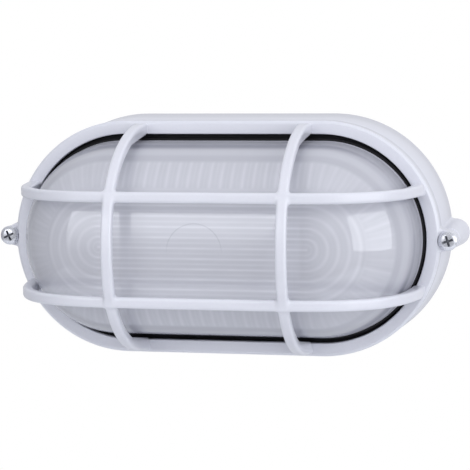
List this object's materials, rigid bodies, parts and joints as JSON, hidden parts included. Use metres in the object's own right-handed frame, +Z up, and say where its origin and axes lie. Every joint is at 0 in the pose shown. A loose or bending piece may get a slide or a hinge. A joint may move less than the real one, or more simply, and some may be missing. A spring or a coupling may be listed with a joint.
{
  "type": "bulkhead light",
  "caption": "Oval wall bulkhead light with a white cast base, a screwed-on cover ring with an integral bar cage, and a ribbed pressed-glass dome over a lamp.",
  "frame": {"origin": "centre of the base casting's back face, on the wall", "axes": "+X along the oval to the right as seen from the room, +Y into the wall, +Z up"},
  "size_m": [0.2364, 0.1143, 0.1204],
  "materials": {
    "white_paint": "white powder coat on die-cast aluminium, satin",
    "pressed_glass": "pressed soda glass, smooth outside and ribbed inside",
    "black_rubber": "matt black moulded rubber",
    "plated_screw": "bright plated steel",
    "ceramic": null,
    "nickelled_brass": "nickel on brass",
    "zinc_strip": "zinc-plated steel strip",
    "opal_lamp": "opal lamp glass",
    "nylon": "natural nylon",
    "brown_sleeve": "brown silicone sleeving",
    "blue_sleeve": "blue silicone sleeving"
  },
  "bodies": {
    "root": {"body_casting": "white_paint", "cage_frame": "white_paint", "glass_diffuser": "pressed_glass", "glass_gasket": "black_rubber", "cover_screw_left": "plated_screw", "cover_screw_right": "plated_screw", "lampholder_body": "ceramic", "lampholder_shell": "nickelled_brass", "lampholder_contact": "nickelled_brass", "lampholder_bracket": "zinc_strip", "bracket_screw_upper": "plated_screw", "bracket_screw_lower": "plated_screw", "holder_screw_upper": "plated_screw", "holder_screw_lower": "plated_screw", "lamp_bulb": "opal_lamp", "terminal_block": "nylon", "block_screw": "plated_screw", "terminal_screw_live_supply": "plated_screw", "terminal_screw_live_lamp": "plated_screw", "terminal_screw_neutral_supply": "plated_screw", "terminal_screw_neutral_lamp": "plated_screw", "earth_screw": "plated_screw", "earth_washer": "nickelled_brass", "cable_grommet": "black_rubber", "wire_live": "brown_sleeve", "wire_neutral": "blue_sleeve"}
  },
  "joints": []
}
